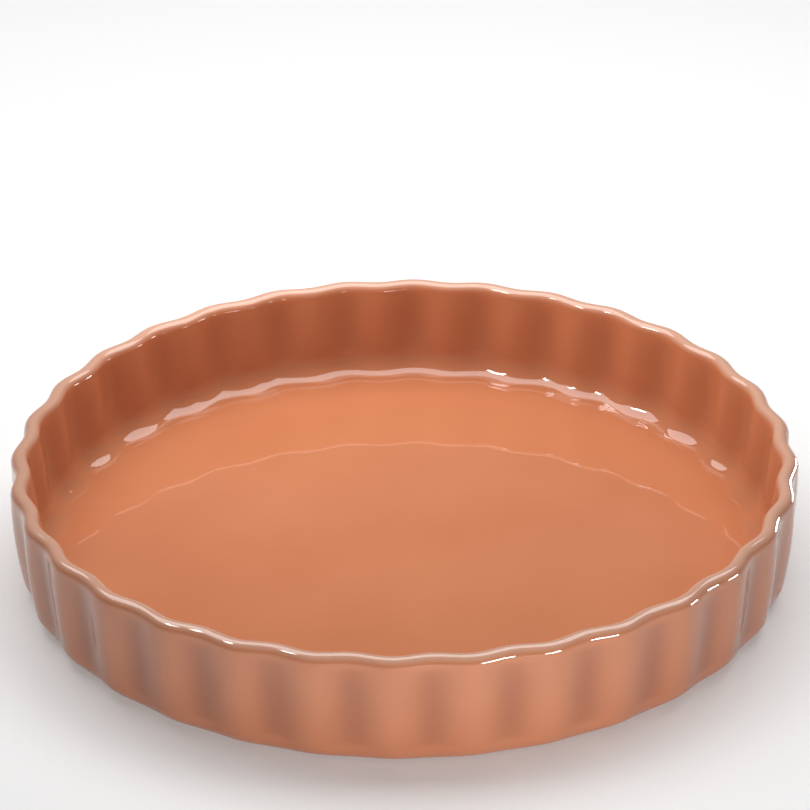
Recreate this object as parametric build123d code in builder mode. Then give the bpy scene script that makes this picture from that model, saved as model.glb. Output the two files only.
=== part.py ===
from math import cos, pi, radians, sin, tan
import os

from build123d import *

# A round fluted quiche dish, modelled in millimetres at its real size.
# It stands on Z = 0, the origin is at the middle of its foot, and Z points up.

# Driving dimensions of the whole dish
rim_diameter = 290.0
dish_height = 45.2
wall_draft = 4.8

# Flutes, counted round the wall
flute_count = 32
flute_depth = 2.1

# Section of the wall and the floor
wall_thickness = 6.5
floor_thickness = 7.0
cove_radius = 9.0

# Rounded foot corner, and the bare ring that the dish stands on
foot_corner_radius = 7.3
foot_ring_height = 1.2
foot_ring_width = 6.5
foot_ring_inset = 0.6
foot_ring_chamfer = 0.4

# Glaze, fused to the clay everywhere but on the foot ring
glaze_thickness = 0.5
base_glaze_margin = 1.0

# Facets that each rounded corner is drawn with, half the lip being one corner
lip_facets = 3
cove_facets = 2
foot_facets = 2

# How far a cutting shape runs past what it cuts
overrun = 5.0

# Places worked out from the driving dimensions
half_pitch = pi / flute_count
quarter_turn = pi / 2
draft_angle = radians(wall_draft)


def wall_radius(height):
    """Mean radius of the glazed outer wall at a height."""
    return (rim_diameter - flute_depth) / 2 - (dish_height - height) * tan(draft_angle)


# The lip is a full round over the wall, and the cove and the foot corner meet the wall tangentially
lip_radius = wall_thickness / 2 * cos(draft_angle)
lip_height = dish_height - lip_radius
lip_centre = wall_radius(lip_height) - wall_thickness / 2
floor_height = foot_ring_height + floor_thickness + glaze_thickness
cove_height = floor_height + cove_radius
cove_centre = wall_radius(cove_height) - wall_thickness - cove_radius / cos(draft_angle)
foot_height = foot_ring_height - glaze_thickness + foot_corner_radius
foot_centre = wall_radius(foot_height) - foot_corner_radius / cos(draft_angle)
foot_ring_radius = foot_centre - foot_ring_inset
recess_radius = foot_ring_radius - foot_ring_width


def round_corner(centre, height, corner, first, last, facets):
    """Radii and heights round a corner whose centre is at a radius and a height."""
    stations = []
    for step in range(facets + 1):
        turn = first + (last - first) * step / facets
        stations.append((centre + corner * cos(turn), height + corner * sin(turn)))
    return stations


def outside(skin):
    """Radius, height and flute depth up the outside, a skin below the glazed surface."""
    corner = foot_corner_radius - skin
    foot = round_corner(foot_centre, foot_height, corner, -quarter_turn, -draft_angle, foot_facets)
    lip = round_corner(
        lip_centre, lip_height, lip_radius - skin, -draft_angle, quarter_turn, lip_facets
    )
    stations = []
    for radius, height in foot:
        below = (foot_height - height) / corner
        stations.append((radius, height, flute_depth * (1 - below**2)))
    for radius, height in lip:
        stations.append((radius, height, flute_depth))
    return stations


def inside(skin):
    """Radius, height and flute depth up the inside, a skin below the glazed surface, and past the lip."""
    cove = round_corner(
        cove_centre, cove_height, cove_radius + skin, -quarter_turn, -draft_angle, cove_facets
    )
    lip = round_corner(
        lip_centre, lip_height, lip_radius - skin, pi - draft_angle, quarter_turn, lip_facets
    )
    past = (lip_centre, dish_height + overrun)
    return [(radius, height, flute_depth) for radius, height in [*cove, *lip, past]]


def wave_points(radius, depth):
    """Points on each crest and in each valley of the flutes, from the crest towards +X."""
    points = []
    for step in range(2 * flute_count):
        side = 1 if step % 2 == 0 else -1
        reach = radius + side * depth / 2
        points.append((reach * cos(step * half_pitch), reach * sin(step * half_pitch)))
    return points


def smooth_face(radius, height, depth):
    """A face with smooth flutes, whose outline runs along +Y where it starts and ends."""
    points = wave_points(radius, depth)
    with BuildSketch(Plane.XY.offset(height)) as outline:
        with BuildLine():
            Spline(*points, points[0], tangents=[(0, 1), (0, 1)], tangent_scalars=[1, 1])
        make_face()
    return outline.sketch


def straight_face(radius, height, depth):
    """A face whose flutes have straight flanks, for the clay that the glaze hides."""
    with BuildSketch(Plane.XY.offset(height)) as outline:
        with BuildLine():
            Polyline(*wave_points(radius, depth), close=True)
        make_face()
    return outline.sketch


os.makedirs("parts", exist_ok=True)

# Clay body: fluted wall, flat floor and bare foot ring, fired in one piece
with BuildPart() as dish_body:
    loft([straight_face(*station) for station in outside(glaze_thickness)], ruled=True)
    loft(
        [straight_face(*station) for station in inside(glaze_thickness)],
        ruled=True,
        mode=Mode.SUBTRACT,
    )
    with BuildSketch():
        Circle(foot_ring_radius)
        Circle(recess_radius, mode=Mode.SUBTRACT)
    extrude(amount=foot_ring_height)
    chamfer(dish_body.edges().group_by(Axis.Z)[0], foot_ring_chamfer)
dish_body.part.label = "dish_body"
export_step(dish_body.part, "parts/dish_body.step")

# Coloured glaze over the inside, the lip and the wall, down to the foot ring
with BuildPart() as glaze_coat:
    loft([smooth_face(*station) for station in outside(0)], ruled=True)
    loft([smooth_face(*station) for station in inside(0)], ruled=True, mode=Mode.SUBTRACT)
    add(dish_body.part, mode=Mode.SUBTRACT)
    with BuildSketch():
        Circle(recess_radius)
    extrude(amount=foot_ring_height, mode=Mode.SUBTRACT)
glaze_coat.part.label = "glaze_coat"
export_step(glaze_coat.part, "parts/glaze_coat.step")

# The same glaze on the underside, in the recess inside the foot ring
with BuildPart() as base_glaze:
    with BuildSketch(Plane.XY.offset(foot_ring_height - glaze_thickness)):
        Circle(recess_radius - base_glaze_margin)
    extrude(amount=glaze_thickness)
base_glaze.part.label = "base_glaze"
export_step(base_glaze.part, "parts/base_glaze.step")
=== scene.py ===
from math import cos, pi, radians, sin, tan

import bpy
from mathutils import Matrix, Vector


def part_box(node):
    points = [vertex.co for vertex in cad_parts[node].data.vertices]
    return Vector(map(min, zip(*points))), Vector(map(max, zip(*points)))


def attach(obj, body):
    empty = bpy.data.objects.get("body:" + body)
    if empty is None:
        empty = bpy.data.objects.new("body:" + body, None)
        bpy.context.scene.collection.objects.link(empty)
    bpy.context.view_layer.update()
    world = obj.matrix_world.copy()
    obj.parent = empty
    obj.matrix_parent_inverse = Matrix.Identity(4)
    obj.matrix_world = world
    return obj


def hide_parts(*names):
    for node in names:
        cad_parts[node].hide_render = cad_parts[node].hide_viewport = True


# A glazed fluted quiche dish on a pale floor, in metres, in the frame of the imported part
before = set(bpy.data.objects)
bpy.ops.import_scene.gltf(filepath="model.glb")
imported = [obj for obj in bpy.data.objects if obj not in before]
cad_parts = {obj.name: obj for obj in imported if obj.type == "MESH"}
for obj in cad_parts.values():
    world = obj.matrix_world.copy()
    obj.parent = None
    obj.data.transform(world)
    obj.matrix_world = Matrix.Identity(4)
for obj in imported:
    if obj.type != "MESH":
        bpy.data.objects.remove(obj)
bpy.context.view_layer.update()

# Sizes read from the frame
coat_low, coat_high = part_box("glaze_coat")
_, clay_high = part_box("dish_body")
_, base_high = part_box("base_glaze")
rim_height = coat_high.z
coat_bottom = coat_low.z
recess_top = base_high.z
glaze = rim_height - clay_high.z

# Flutes, as deep as in the part's solids and as drawn here, and how the wave grows half-way up
flute_count = 32
solid_flute_depth = 0.0021
flute_depth = 0.00196
wall_swell = 0.0005

# Section of the dish, as in the part's solids, with a wall that bulges a little
wall_draft = radians(4.8)
wall_thickness = 0.0065
wall_bulge = 0.0004
floor_thickness = 0.007
cove_radius = 0.009
foot_corner_radius = 0.0073
foot_ring_inset = 0.0006
foot_ring_width = 0.0065
foot_ring_round = 0.0006

# How finely the surfaces are drawn, and how fast the wave dies out across the floor
steps_per_flute = 16
steps_round = flute_count * steps_per_flute
corner_steps = 12
wall_steps = 14
floor_steps = 10
round_steps = 5
floor_fade = 6

# How strongly the flute hollows are darkened, by painted shade that partly stands for glaze
# pooling thicker there, and how soon it starts from the ends of the wall
outside_pooling_and_shade = 0.5
inside_pooling_and_shade = 0.25
pooling_and_shade_onset = 0.3

# Places worked out from these
rim_wave = flute_depth / 2
lip_radius = wall_thickness / 2 * cos(wall_draft)
lip_height = rim_height - lip_radius
lip_centre = coat_high.x - solid_flute_depth / 2 - lip_radius
rim_radius = lip_centre + lip_radius


def wall_radius(height):
    """Mean radius of the glazed outer wall at a height."""
    at_lip = lip_centre + wall_thickness / 2
    return at_lip - (lip_height - height) * tan(wall_draft)


floor_height = recess_top + floor_thickness + glaze
clay_floor_height = floor_height - glaze
cove_height = floor_height + cove_radius
cove_centre = wall_radius(cove_height) - wall_thickness - cove_radius / cos(wall_draft)
foot_height = coat_bottom + foot_corner_radius
foot_centre = wall_radius(foot_height) - foot_corner_radius / cos(wall_draft)
foot_ring_radius = foot_centre - foot_ring_inset
recess_radius = foot_ring_radius - foot_ring_width


def arc(centre, height, radius, first, last, steps):
    """Radii and heights along an arc of the section."""
    points = []
    for step in range(steps + 1):
        turn = first + (last - first) * step / steps
        points.append((centre + radius * cos(turn), height + radius * sin(turn)))
    return points


def waved(points, wave):
    """Points of the section with one wave for them all."""
    return [(radius, height, wave) for radius, height in points]


def wall_stations(low, high, bulge):
    """Radius, height and wave between the ends of a wall, which bulges and waves most half-way."""
    stations = []
    for step in range(1, wall_steps):
        share = step / wall_steps
        radius, height = (a + (b - a) * share for a, b in zip(low, high))
        swell = 1 - (2 * share - 1) ** 2
        stations.append((radius + bulge * sin(pi * share), height, rim_wave + wall_swell * swell))
    return stations


def outside_section(skin):
    """Radius, height and wave up the outside to the lip's top, a skin below the glazed surface."""
    corner = foot_corner_radius - skin
    foot = arc(foot_centre, foot_height, corner, -pi / 2, -wall_draft, corner_steps)
    lip = arc(lip_centre, lip_height, lip_radius - skin, -wall_draft, pi / 2, corner_steps)
    section = []
    for radius, height in foot:
        below = (foot_height - height) / corner
        section.append((radius, height, rim_wave * (1 - below**2)))
    return section + wall_stations(foot[-1], lip[0], wall_bulge) + waved(lip, rim_wave)


def inside_section(skin):
    """Radius, height and wave up the inside from the floor's edge, without the lip's top."""
    cove = arc(cove_centre, cove_height, cove_radius + skin, -pi / 2, -wall_draft, corner_steps)
    lip = arc(lip_centre, lip_height, lip_radius - skin, pi - wall_draft, pi / 2, corner_steps)
    return waved(cove, rim_wave) + wall_stations(cove[-1], lip[0], 0) + waved(lip[:-1], rim_wave)


def floor_section(height):
    """Radius, height and wave from near the floor's middle to near its edge."""
    section = []
    for step in range(1, floor_steps):
        share = step / floor_steps
        section.append((cove_centre * share, height, rim_wave * share**floor_fade))
    return section


def recess(radius, height, wave, turn):
    """How strongly a point of the fluted wall is darkened in the hollows, by painted shade that
    partly stands for glaze pooling there, from 0 to 1.
    """
    swell = max(0, (wave - rim_wave) / wall_swell) ** pooling_and_shade_onset
    crest = 0.5 + 0.5 * cos(flute_count * turn)
    if radius > wall_radius(height) - wall_thickness / 2:
        return outside_pooling_and_shade * swell * (1 - crest) ** 2
    return inside_pooling_and_shade * swell * crest**2


def turned_points(section):
    """Vertices of a section turned round the axis, and how strongly painted shade, partly glaze
    pooling, darkens each.
    """
    vertices = [(0, 0, section[0][1])]
    pooling_and_shade = [0]
    for radius, height, wave in section[1:-1]:
        for step in range(steps_round):
            turn = 2 * pi * step / steps_round
            reach = radius + wave * cos(flute_count * turn)
            vertices.append((reach * cos(turn), reach * sin(turn), height))
            pooling_and_shade.append(recess(radius, height, wave, turn))
    vertices.append((0, 0, section[-1][1]))
    pooling_and_shade.append(0)
    return vertices, pooling_and_shade


def turned_faces(rings):
    """Faces between rings of vertices, and the fans that close both ends on the axis."""
    faces = []
    end = 1 + rings * steps_round
    last_ring = end - steps_round
    for step in range(steps_round):
        after = (step + 1) % steps_round
        faces.append((0, 1 + step, 1 + after))
        faces.append((end, last_ring + after, last_ring + step))
        for ring in range(rings - 1):
            here = 1 + ring * steps_round
            there = here + steps_round
            faces.append((here + step, there + step, there + after, here + after))
    return faces


def turned(name, section):
    """A closed smooth mesh from a section that starts and ends on the axis."""
    vertices, pooling_and_shade = turned_points(section)
    mesh = bpy.data.meshes.new(name)
    mesh.from_pydata(vertices, [], turned_faces(len(section) - 2))
    mesh.polygons.foreach_set("use_smooth", [True] * len(mesh.polygons))
    mesh.attributes.new("pooling_and_shade", "FLOAT", "POINT").data.foreach_set("value", pooling_and_shade)
    mesh.update()
    piece = bpy.data.objects.new(name, mesh)
    bpy.context.scene.collection.objects.link(piece)
    return piece


def coat_piece():
    """Glaze over the inside, the lip and the outside wall, down to the foot ring."""
    section = [(0, floor_height, 0)]
    section += floor_section(floor_height)
    section += inside_section(0)
    section += reversed(outside_section(0))
    section += waved([(foot_ring_radius, coat_bottom), (foot_ring_radius, recess_top)], 0)
    section += outside_section(glaze)
    section += reversed(inside_section(glaze))
    section += reversed(floor_section(clay_floor_height))
    section.append((0, clay_floor_height, 0))
    return turned("glaze_coat_dressed", section)


def clay_piece():
    """The clay under the glaze, with its bare foot ring."""
    ring = foot_ring_round
    outer = arc(foot_ring_radius - ring, ring, ring, -pi / 2, 0, round_steps)
    inner = arc(recess_radius + ring, ring, ring, -pi / 2, -pi, round_steps)
    section = [(0, clay_floor_height, 0)]
    section += floor_section(clay_floor_height)
    section += inside_section(glaze)
    section += reversed(outside_section(glaze))
    section.append((foot_ring_radius, recess_top, 0))
    section += reversed(waved(outer, 0))
    section += waved(inner, 0)
    section += waved([(recess_radius, recess_top), (0, recess_top)], 0)
    return turned("dish_body_dressed", section)


# The sRGB standard's curve, from a colour on a screen to a linear one
srgb_straight_end = 0.04045
srgb_straight_slope = 12.92
srgb_offset = 0.055
srgb_power = 2.4


def linear(*tone):
    """A colour as it shows on a screen, up to 255, in the linear values that a shader takes."""
    values = []
    for value in tone:
        share = value / 255
        if share <= srgb_straight_end:
            values.append(share / srgb_straight_slope)
        else:
            values.append(((share + srgb_offset) / (1 + srgb_offset)) ** srgb_power)
    return (*values, 1)


def grey(level):
    """A grey of a linear level."""
    return (level, level, level, 1)


def new_material(name):
    """A material with only its output, and the nodes and links to build it from."""
    material = bpy.data.materials.new(name)
    material.use_nodes = True
    nodes = material.node_tree.nodes
    nodes.clear()
    output = nodes.new("ShaderNodeOutputMaterial")
    return material, nodes, material.node_tree.links, output


def noise(nodes, links, scale, detail, roughness=0.5):
    """Noise in the dish's own frame, in features per metre."""
    place = nodes.new("ShaderNodeTexCoord")
    texture = nodes.new("ShaderNodeTexNoise")
    texture.inputs["Scale"].default_value = scale
    texture.inputs["Detail"].default_value = detail
    texture.inputs["Roughness"].default_value = roughness
    links.new(place.outputs["Object"], texture.inputs["Vector"])
    return texture.outputs["Fac"]


def mottled(nodes, links, texture, first, second, spread):
    """A colour that turns into another round the middle of a texture, as widely as the spread."""
    ramp = nodes.new("ShaderNodeValToRGB")
    low, high = ramp.color_ramp.elements
    low.position = 0.5 - spread
    low.color = linear(*first)
    high.position = 0.5 + spread
    high.color = linear(*second)
    links.new(texture, ramp.inputs["Fac"])
    return ramp.outputs["Color"]


def bumped(nodes, links, texture, strength, distance):
    """A surface that a texture makes uneven, over a distance in metres."""
    bump = nodes.new("ShaderNodeBump")
    bump.inputs["Strength"].default_value = strength
    bump.inputs["Distance"].default_value = distance
    links.new(texture, bump.inputs["Height"])
    return bump.outputs["Normal"]


def blended(nodes, links, share, first, second):
    """The first colour, a socket, turning into the second by a share."""
    mix = nodes.new("ShaderNodeMix")
    mix.data_type = "RGBA"
    links.new(share, mix.inputs[0])
    links.new(first, mix.inputs[6])
    mix.inputs[7].default_value = linear(*second)
    return mix.outputs[2]


def larger(nodes, links, first, second):
    """The larger of two sockets."""
    node = nodes.new("ShaderNodeMath")
    node.operation = "MAXIMUM"
    links.new(first, node.inputs[0])
    links.new(second, node.inputs[1])
    return node.outputs[0]


# The glaze, with colours as they show on a screen, and where on the lip its paler tone grows in
# lip radii: a painted reflection of the overhead light, partly thinner glaze
glaze_roughness = 0.03
glaze_ior = 1.7
glaze_tones = (200, 124, 86), (206, 131, 92)
# Painted shade for the flute hollows, partly glaze that pools thicker there
shade_and_pooling_tone = 146, 82, 56
# Painted reflection of the overhead light on the lip's top, partly thinner glaze
thin_glaze_and_reflection_tone = 222, 184, 164
thin_glaze_and_reflection_share = 0.6
thin_glaze_and_reflection_from = 0.4
thin_glaze_and_reflection_to = 0.92


def thin_glaze_and_reflection(nodes, links):
    """How far the glaze turns into its paler tone, a painted reflection of the overhead light and
    partly thinner glaze, growing towards the top of the lip.
    """
    place = nodes.new("ShaderNodeTexCoord")
    height = nodes.new("ShaderNodeSeparateXYZ")
    links.new(place.outputs["Object"], height.inputs["Vector"])
    lip_reflection_range = nodes.new("ShaderNodeMapRange")
    lip_reflection_range.inputs["From Min"].default_value = lip_height + thin_glaze_and_reflection_from * lip_radius
    lip_reflection_range.inputs["From Max"].default_value = lip_height + thin_glaze_and_reflection_to * lip_radius
    lip_reflection_range.inputs["To Max"].default_value = thin_glaze_and_reflection_share
    links.new(height.outputs["Z"], lip_reflection_range.inputs["Value"])
    return lip_reflection_range.outputs["Result"]


def glaze_material():
    """Glossy glaze, faintly mottled and wavy, darker in the hollows by painted shade, partly glaze
    pooling, and paler on the lip's top by a painted reflection of the overhead light, partly
    thinner glaze.
    """
    material, nodes, links, output = new_material("terracotta_glaze")
    shader = nodes.new("ShaderNodeBsdfPrincipled")
    shader.inputs["Roughness"].default_value = glaze_roughness
    shader.inputs["IOR"].default_value = glaze_ior
    patches = noise(nodes, links, scale=18, detail=3)
    tone = mottled(nodes, links, patches, *glaze_tones, spread=0.2)
    pooling_and_shade = nodes.new("ShaderNodeAttribute")
    pooling_and_shade.attribute_name = "pooling_and_shade"
    # Painted shade in the flute hollows, partly glaze pooling
    shaded_hollows = blended(nodes, links, pooling_and_shade.outputs["Fac"], tone, shade_and_pooling_tone)
    # Painted reflection of the overhead light towards the lip's top, partly thinner glaze
    paler = blended(nodes, links, thin_glaze_and_reflection(nodes, links), shaded_hollows, thin_glaze_and_reflection_tone)
    ripples = noise(nodes, links, scale=90, detail=2)
    normal = bumped(nodes, links, ripples, strength=0.05, distance=0.0005)
    links.new(paler, shader.inputs["Base Color"])
    links.new(normal, shader.inputs["Normal"])
    links.new(shader.outputs["BSDF"], output.inputs["Surface"])
    return material


# The bare clay, with colours as they show on a screen
clay_roughness = 0.85
clay_tones = (188, 160, 136), (214, 190, 166)


def clay_material():
    """Bare fired clay, matt, speckled and grainy."""
    material, nodes, links, output = new_material("fired_clay")
    shader = nodes.new("ShaderNodeBsdfPrincipled")
    shader.inputs["Roughness"].default_value = clay_roughness
    speckle = noise(nodes, links, scale=900, detail=5, roughness=0.7)
    tone = mottled(nodes, links, speckle, *clay_tones, spread=0.15)
    grain = noise(nodes, links, scale=1500, detail=4, roughness=0.6)
    normal = bumped(nodes, links, grain, strength=0.3, distance=0.0002)
    links.new(tone, shader.inputs["Base Color"])
    links.new(normal, shader.inputs["Normal"])
    links.new(shader.outputs["BSDF"], output.inputs["Surface"])
    return material


# The pale floor and backdrop, as linear greys: what they return, and what they add where seen
pale_grey = 0.75
pale_glow = 0.24


def pale_material():
    """Pale floor and backdrop, white to the camera and to reflections, with the dish's shadow."""
    material, nodes, links, output = new_material("pale_floor")
    matt = nodes.new("ShaderNodeBsdfDiffuse")
    matt.inputs["Color"].default_value = grey(pale_grey)
    path = nodes.new("ShaderNodeLightPath").outputs
    seen = larger(nodes, links, path["Is Camera Ray"], path["Is Glossy Ray"])
    seen = larger(nodes, links, seen, path["Is Transmission Ray"])
    level = nodes.new("ShaderNodeMath")
    level.operation = "MULTIPLY"
    level.inputs[1].default_value = pale_glow
    links.new(seen, level.inputs[0])
    glow = nodes.new("ShaderNodeEmission")
    links.new(level.outputs[0], glow.inputs["Strength"])
    both = nodes.new("ShaderNodeAddShader")
    links.new(matt.outputs["BSDF"], both.inputs[0])
    links.new(glow.outputs["Emission"], both.inputs[1])
    links.new(both.outputs["Shader"], output.inputs["Surface"])
    return material


# The dish
glazed = glaze_material()
bare = clay_material()
coat = coat_piece()
coat.data.materials.append(glazed)
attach(coat, "root")
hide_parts("glaze_coat")
clay = clay_piece()
clay.data.materials.append(bare)
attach(clay, "root")
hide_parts("dish_body")
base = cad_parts["base_glaze"]
for slot in base.material_slots:
    slot.material = glazed

# Floor and low backdrop all round
floor_size = 12
backdrop_distance = 5.5
backdrop_height = 1.2
backdrop_sides = 96
pale = pale_material()
bpy.ops.mesh.primitive_plane_add(size=floor_size)
floor = bpy.context.object
floor.name = "floor"
floor.data.materials.append(pale)
bpy.ops.mesh.primitive_cylinder_add(
    vertices=backdrop_sides,
    radius=backdrop_distance,
    depth=backdrop_height,
    end_fill_type="NOTHING",
)
backdrop = bpy.context.object
backdrop.name = "backdrop"
backdrop.location.z = backdrop_height / 2
backdrop.data.materials.append(pale)

# The camera, in rim radii and radians, turned about the dish to see the flutes as photographed
camera_turn = 0.0333
camera_aside = 0.0041
camera_back = 9.9927
camera_up = 5.8826
camera_pitch = 0.4973
camera_roll = -0.0086

# The focal length and the picture's width in pixels, and the sensor's width in millimetres
focal_pixels = 4479.3
frame_pixels = 810
sensor_width = 36

camera_frame = Matrix.Rotation(camera_turn, 4, "Z")
camera_place = Vector((camera_aside, -camera_back, camera_up)) * rim_radius
camera_tilt = Matrix.Rotation(pi / 2 - camera_pitch, 4, "X")
camera_look = camera_tilt @ Matrix.Rotation(camera_roll, 4, "Z")
lens = bpy.data.cameras.new("camera")
lens.sensor_width = sensor_width
lens.lens = focal_pixels / frame_pixels * sensor_width
camera = bpy.data.objects.new("camera", lens)
camera.matrix_world = camera_frame @ Matrix.Translation(camera_place) @ camera_look
bpy.context.scene.collection.objects.link(camera)
bpy.context.scene.camera = camera


def softbox(name, centre, aim, size, radiance, in_gloss=True, in_diffuse=True):
    """A rectangular lamp, placed, aimed and sized in rim radii in the camera's frame."""
    width, length = (side * rim_radius for side in size)
    light = bpy.data.lights.new(name, "AREA")
    light.shape = "RECTANGLE"
    light.size = width
    light.size_y = length
    light.energy = radiance * pi * width * length
    lamp = bpy.data.objects.new(name, light)
    toward = Vector(aim) - Vector(centre)
    facing = toward.to_track_quat("-Z", "Y").to_matrix().to_4x4()
    lamp.matrix_world = camera_frame @ Matrix.Translation(Vector(centre) * rim_radius) @ facing
    lamp.visible_camera = False
    lamp.visible_glossy = in_gloss
    lamp.visible_diffuse = in_diffuse
    bpy.context.scene.collection.objects.link(lamp)


def around(azimuth, elevation, distance):
    """A place round the dish, in rim radii, from angles in degrees in the camera's frame."""
    turned_by, up = radians(azimuth), radians(elevation)
    return (
        distance * cos(up) * cos(turned_by),
        distance * cos(up) * sin(turned_by),
        distance * sin(up),
    )


# Strips just outside the rim, in rim radii and degrees, that show as dashes on the lip
glint_elevation = 9
glint_distance = 1.95
glint_length = 0.22
glint_aim = (0, 0, 0.31)


def glint(name, azimuth, width, radiance):
    """A strip just outside the rim that shows in gloss only."""
    centre = around(azimuth, glint_elevation, glint_distance)
    softbox(name, centre, glint_aim, (width, glint_length), radiance, in_diffuse=False)


# The lamps, with an azimuth of 0 at the camera's right and one of 270 towards the camera
middle = (0, 0, 0)
softbox("overhead", centre=(-0.2, 1.9, 5), aim=(-0.2, 1.9, 0), size=(8.2, 4.5), radiance=3.2)
softbox(
    "left_key",
    centre=around(azimuth=191, elevation=58, distance=8),
    aim=middle,
    size=(1.8, 0.9),
    radiance=24,
    in_diffuse=False,
)
softbox(
    "inside_fill",
    centre=(-0.7, 0.4, 1.3),
    aim=(0.9, 0.4, 0.8),
    size=(1.2, 0.8),
    radiance=3.7,
    in_gloss=False,
)
softbox(
    "front_low",
    centre=around(azimuth=283, elevation=4, distance=3),
    aim=middle,
    size=(1.3, 0.4),
    radiance=16,
    in_gloss=False,
)
softbox(
    "front_fill",
    centre=around(azimuth=252, elevation=8, distance=8),
    aim=middle,
    size=(4, 1.2),
    radiance=3.4,
    in_gloss=False,
)
glint("back_glint", azimuth=24, width=0.6, radiance=36)
glint("front_glint", azimuth=299, width=0.55, radiance=24)
glint("right_glint", azimuth=341, width=0.4, radiance=22)

# A dim even world
world_grey = 0.1
world = bpy.data.worlds.new("world")
bpy.context.scene.world = world
world.use_nodes = True
world.node_tree.nodes["Background"].inputs["Color"].default_value = grey(world_grey)
bpy.context.scene.view_settings.view_transform = "Standard"
